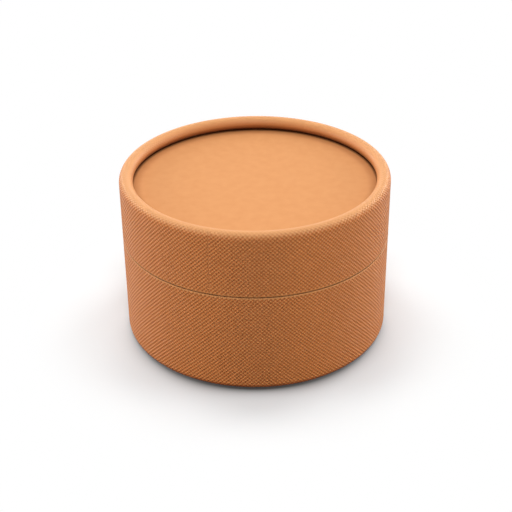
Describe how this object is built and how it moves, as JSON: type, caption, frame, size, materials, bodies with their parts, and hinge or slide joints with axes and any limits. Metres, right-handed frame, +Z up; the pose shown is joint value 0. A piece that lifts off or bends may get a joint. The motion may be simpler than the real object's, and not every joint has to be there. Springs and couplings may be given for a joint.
{
  "type": "cylindrical gift tube box",
  "caption": "Round two-part gift tube box of wound board in embossed tan paper, with rolled rims, a recessed lid disc and an inner neck that guides the lift-off lid.",
  "frame": {"origin": "centre of the foot, on the surface that the box stands on", "axes": "+Z up along the axis of the tubes, the way the lid lifts; the box is round, so X and Y are free"},
  "size_m": [0.088, 0.088, 0.056],
  "materials": {
    "covering_paper": "matt tan paper with a fine diagonal cross-hatch emboss",
    "face_paper": "matt tan paper, pressed nearly smooth",
    "wound_board": "bare wound board, seen only at cut edges",
    "lining_paper": "plain uncoated cream paper"
  },
  "bodies": {
    "base": {"base_shell": "wound_board", "base_wrap": "covering_paper", "base_lining": "lining_paper", "base_floor_board": "wound_board", "base_bottom_paper": "face_paper", "floor_liner": "lining_paper", "neck_tube": "wound_board", "neck_wrap": "lining_paper", "neck_lining": "lining_paper"},
    "lid": {"lid_shell": "wound_board", "lid_wrap": "covering_paper", "lid_lining": "lining_paper", "lid_top_board": "wound_board", "lid_top_paper": "face_paper", "lid_under_paper": "lining_paper"}
  },
  "joints": [
    {"name": "lid_lift", "type": "slide", "parent": "base", "child": "lid", "axis": [0, 0, 1], "range_m": [0, 0.08]}
  ]
}
